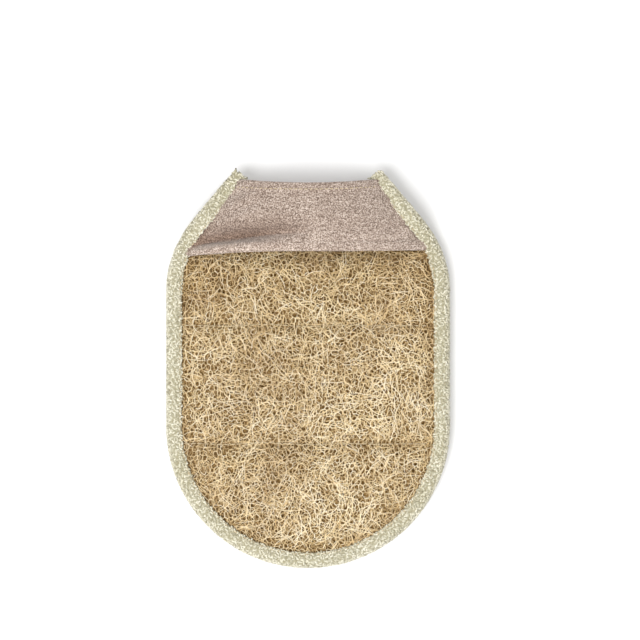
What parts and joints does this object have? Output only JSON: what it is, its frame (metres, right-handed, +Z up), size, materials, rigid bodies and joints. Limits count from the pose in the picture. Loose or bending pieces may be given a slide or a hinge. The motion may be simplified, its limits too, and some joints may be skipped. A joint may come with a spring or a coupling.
{
  "type": "natural loofah bath sponge",
  "caption": "Flat quilted pad of natural loofah net with a terry-bound edge, one round end and a cloth hand band arched across the straight end.",
  "frame": {"origin": "on the surface that the sponge lies on, below the middle of its overall length and width", "axes": "+Z up out of the pad's face with the hand band; +Y along the pad, from the round end towards the straight end with the band; +X to the right, seen from above"},
  "size_m": [0.1466, 0.2054, 0.0287],
  "materials": {
    "loofah": "dry, coarse net of plant fibres",
    "terry": "looped terry",
    "cotton": "short towelling",
    "thread": "matt sewing thread"
  },
  "bodies": {
    "root": {"loofah_pad": "loofah", "edge_binding": "terry", "end_binding": "terry", "hand_band": "cotton", "quilt_thread_lower": "thread", "quilt_thread_upper": "thread", "edge_thread": "thread", "end_thread": "thread"}
  },
  "joints": []
}
